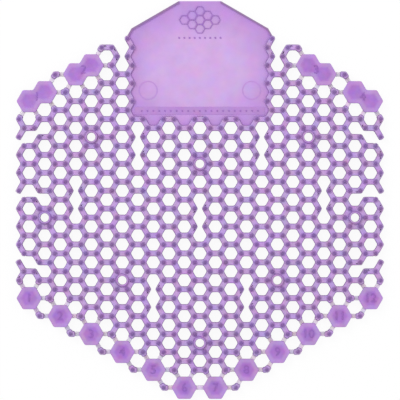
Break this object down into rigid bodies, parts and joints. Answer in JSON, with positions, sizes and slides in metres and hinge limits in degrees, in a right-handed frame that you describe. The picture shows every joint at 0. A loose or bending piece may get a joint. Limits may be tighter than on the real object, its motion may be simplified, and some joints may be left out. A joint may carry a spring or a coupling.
{
  "type": "urinal deodorizer screen",
  "caption": "Flat flexible screen: a net of hexagonal cells with a plain panel at the top, tear-off tabs round its edge and low nubs.",
  "frame": {"origin": "middle of the screen's outline, on the surface that the screen lies on", "axes": "+Z out of the shown face, +Y along the screen towards the plain panel, +X to the right as the picture shows it"},
  "size_m": [0.1786, 0.1922, 0.006],
  "materials": {
    "scented_plastic": "satin"
  },
  "bodies": {
    "root": {"screen": "scented_plastic"}
  },
  "joints": []
}
